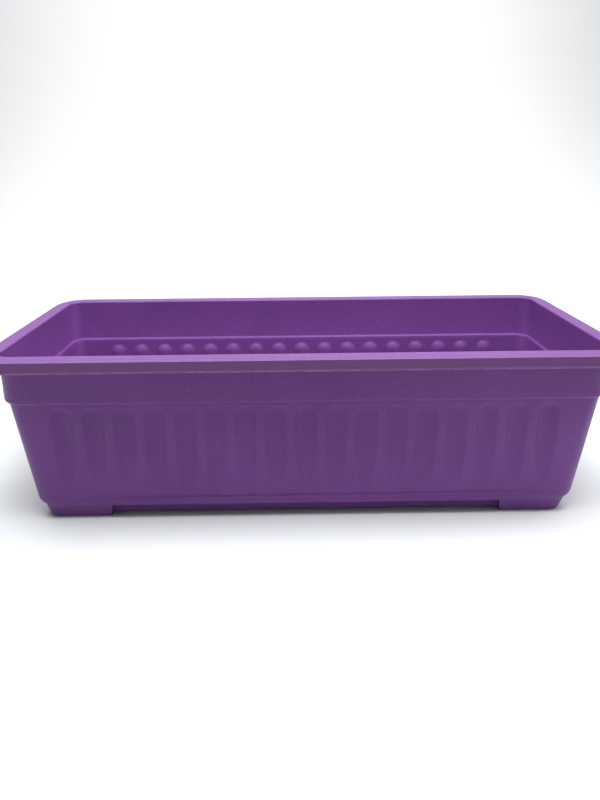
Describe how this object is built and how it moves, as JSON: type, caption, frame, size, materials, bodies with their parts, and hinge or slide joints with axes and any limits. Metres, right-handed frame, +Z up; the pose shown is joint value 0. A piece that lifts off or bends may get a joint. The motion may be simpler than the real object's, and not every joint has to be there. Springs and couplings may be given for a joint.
{
  "type": "self-watering window-box planter",
  "caption": "Long self-watering trough planter with rolled rim, fluted walls and corner feet; soil separator on wicking cups over a reservoir, filling tube with float gauge, overflow.",
  "frame": {"origin": "on the ground under the middle of the trough", "axes": "+X along the length, -Y out of the front wall, +Z up"},
  "size_m": [0.6, 0.22, 0.175],
  "materials": {
    "trough_plastic": "injection-moulded polypropylene, satin",
    "separator_plastic": "moulded recycled polypropylene, matte charcoal",
    "tube_plastic": "moulded polypropylene, matte charcoal",
    "lid_plastic": "moulded polypropylene, satin",
    "pin_steel": "drawn stainless wire",
    "window_clear": "clear moulded styrene",
    "float_white": "blown polyethylene",
    "marker_red": "moulded, signal colour",
    "overflow_plastic": "moulded polypropylene, matte charcoal",
    "seal_rubber": "soft black rubber"
  },
  "bodies": {
    "trough": {"trough": "trough_plastic", "overflow_pipe": "overflow_plastic", "overflow_gasket": "seal_rubber", "overflow_nut": "overflow_plastic"},
    "left_separator": {"separator_left": "separator_plastic", "wick_cup_1": "separator_plastic", "wick_cup_2": "separator_plastic", "wick_cup_3": "separator_plastic"},
    "right_separator": {"separator_right": "separator_plastic", "wick_cup_4": "separator_plastic", "wick_cup_5": "separator_plastic"},
    "filling_tube": {"fill_tube": "tube_plastic", "fill_head": "tube_plastic", "lid_pin": "pin_steel", "gauge_window": "window_clear"},
    "lid": {"fill_lid": "lid_plastic"},
    "gauge_float": {"float": "float_white", "float_stem": "float_white", "gauge_marker": "marker_red"},
    "drain_plug": {"drain_plug": "overflow_plastic", "plug_seal": "seal_rubber"}
  },
  "joints": [
    {"name": "left_separator_lift", "type": "slide", "parent": "trough", "child": "left_separator", "axis": [0, 0, 1], "range_m": [0, 0.18]},
    {"name": "right_separator_lift", "type": "slide", "parent": "trough", "child": "right_separator", "axis": [0, 0, 1], "range_m": [0, 0.18]},
    {"name": "filling_tube_lift", "type": "slide", "parent": "right_separator", "child": "filling_tube", "axis": [0, 0, 1], "range_m": [0, 0.14]},
    {"name": "lid_hinge", "type": "hinge", "parent": "filling_tube", "child": "lid", "pos_m": [0.203, -0.0256, 0.1446], "axis": [-1, 0, 0], "range_deg": [0, 110]},
    {"name": "float_rise", "type": "slide", "parent": "filling_tube", "child": "gauge_float", "axis": [0, 0, 1], "range_m": [0, 0.018]},
    {"name": "drain_plug_pull", "type": "slide", "parent": "trough", "child": "drain_plug", "axis": [0, 0, -1], "range_m": [0, 0.016]}
  ]
}
